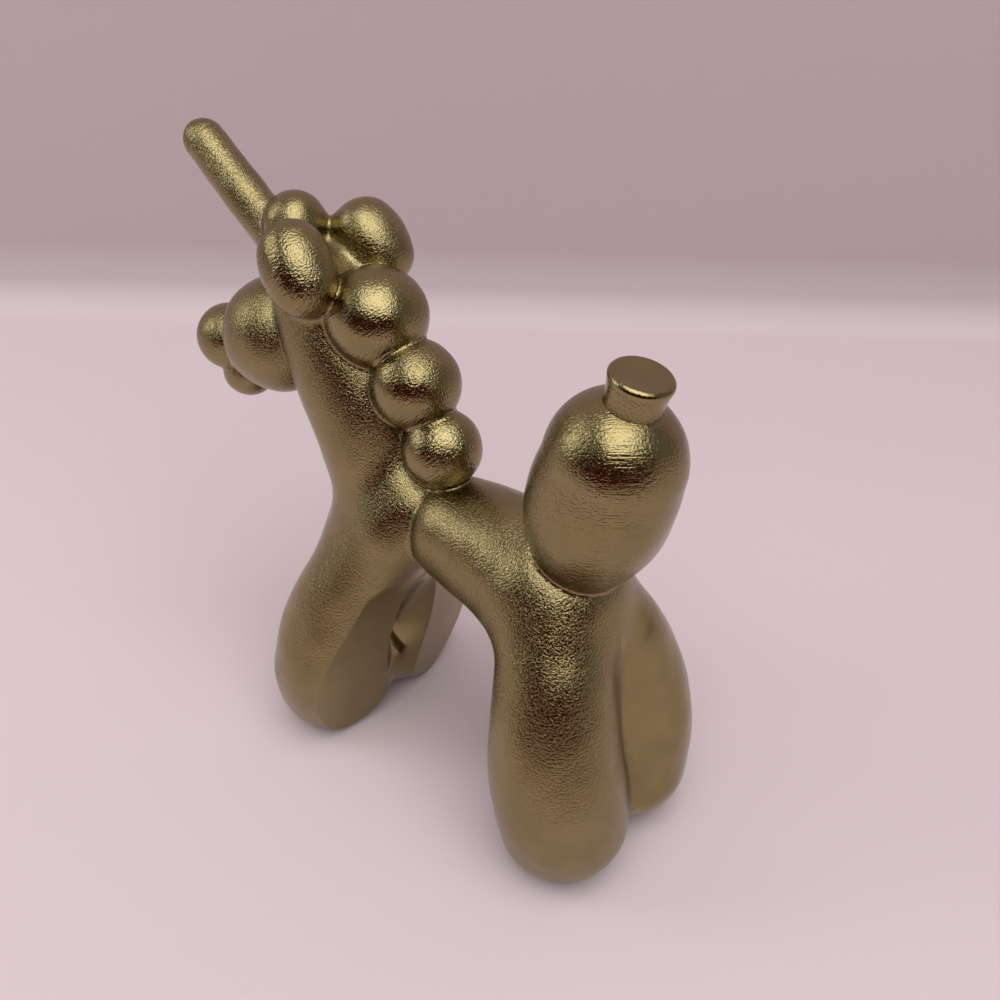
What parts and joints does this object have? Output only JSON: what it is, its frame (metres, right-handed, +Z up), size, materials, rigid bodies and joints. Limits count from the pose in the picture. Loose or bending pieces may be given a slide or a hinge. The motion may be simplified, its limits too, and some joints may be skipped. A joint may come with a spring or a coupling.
{
  "type": "unicorn figurine",
  "caption": "Metal unicorn figurine in the form of a twisted balloon animal, with a straight horn, a mane of balls and an upright egg-shaped tail; it stands on flats under its feet.",
  "frame": {"origin": "on the plane that the feet stand on, below the middle of the figure's length and width", "axes": "+Z up, -Y the way the unicorn faces, +X towards its left side"},
  "size_m": [0.0618, 0.1462, 0.1496],
  "materials": {
    "cast_metal": "sand cast, brushed by hand in places, champagne-gold lacquer"
  },
  "bodies": {
    "root": {"neck": "cast_metal", "body": "cast_metal", "left_front_leg": "cast_metal", "right_front_leg": "cast_metal", "left_hind_leg": "cast_metal", "right_hind_leg": "cast_metal", "head": "cast_metal", "muzzle": "cast_metal", "mane_ball_upper": "cast_metal", "mane_ball_middle": "cast_metal", "mane_ball_lower": "cast_metal", "left_ear": "cast_metal", "right_ear": "cast_metal", "forelock_ball": "cast_metal", "horn": "cast_metal", "tail_bubble": "cast_metal", "tail_knot": "cast_metal"}
  },
  "joints": []
}
